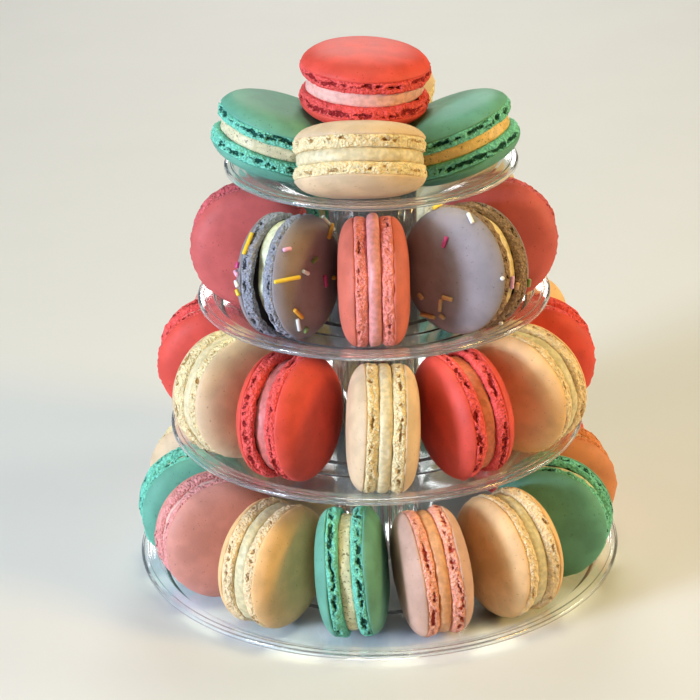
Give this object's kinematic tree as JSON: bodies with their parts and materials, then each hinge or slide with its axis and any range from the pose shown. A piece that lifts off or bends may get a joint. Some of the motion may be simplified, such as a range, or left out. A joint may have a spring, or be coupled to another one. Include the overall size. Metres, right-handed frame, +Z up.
{
  "type": "macaron tower",
  "caption": "Tiered stand of round clear plastic trays on fluted hollow columns, filled with pastel macarons on edge, some with sprinkles, and more lying on the top tray.",
  "frame": {"origin": "middle of the underside of the lowest tray, on the table", "axes": "+Z up along the columns; -Y is the front, the side that the picture shows; +X to the right seen from the front"},
  "size_m": [0.185, 0.185, 0.2013],
  "materials": {
    "clear_plastic": "clear, glossy, moulded",
    "mint_macaron": "matt baked shell with a craggy foot",
    "cream_macaron": "matt baked shell with a craggy foot",
    "rose_macaron": "matt baked shell with a craggy foot",
    "almond_macaron": "matt baked shell with a craggy foot",
    "peach_macaron": "matt baked shell with a craggy foot",
    "apricot_macaron": "matt baked shell with a craggy foot",
    "coral_macaron": "matt baked shell with a craggy foot",
    "berry_macaron": "matt baked shell with a craggy foot",
    "lavender_macaron": "matt baked shell with a craggy foot",
    "salmon_macaron": "matt baked shell with a craggy foot"
  },
  "bodies": {
    "root": {"tray_base": "clear_plastic", "tray_second": "clear_plastic", "tray_third": "clear_plastic", "tray_top": "clear_plastic", "column_base": "clear_plastic", "column_second": "clear_plastic", "column_third": "clear_plastic", "base_macaron_1": "cream_macaron", "base_macaron_2": "mint_macaron", "base_macaron_3": "rose_macaron", "base_macaron_4": "almond_macaron", "base_macaron_5": "mint_macaron", "base_macaron_6": "peach_macaron", "base_macaron_7": "almond_macaron", "base_macaron_8": "mint_macaron", "base_macaron_9": "apricot_macaron", "base_macaron_10": "coral_macaron", "base_macaron_11": "cream_macaron", "base_macaron_12": "mint_macaron", "base_macaron_13": "rose_macaron", "base_macaron_14": "peach_macaron", "second_macaron_1": "coral_macaron", "second_macaron_2": "cream_macaron", "second_macaron_3": "coral_macaron", "second_macaron_4": "cream_macaron", "second_macaron_5": "coral_macaron", "second_macaron_6": "almond_macaron", "second_macaron_7": "coral_macaron", "second_macaron_8": "almond_macaron", "second_macaron_9": "mint_macaron", "second_macaron_10": "coral_macaron", "second_macaron_11": "cream_macaron", "second_macaron_12": "rose_macaron", "third_macaron_1": "berry_macaron", "third_macaron_2": "lavender_macaron", "third_macaron_3": "salmon_macaron", "third_macaron_4": "lavender_macaron", "third_macaron_5": "berry_macaron", "third_macaron_6": "cream_macaron", "third_macaron_7": "coral_macaron", "third_macaron_8": "mint_macaron", "top_macaron_1": "mint_macaron", "top_macaron_2": "cream_macaron", "top_macaron_3": "mint_macaron", "top_macaron_4": "cream_macaron", "top_macaron_5": "coral_macaron"}
  },
  "joints": []
}
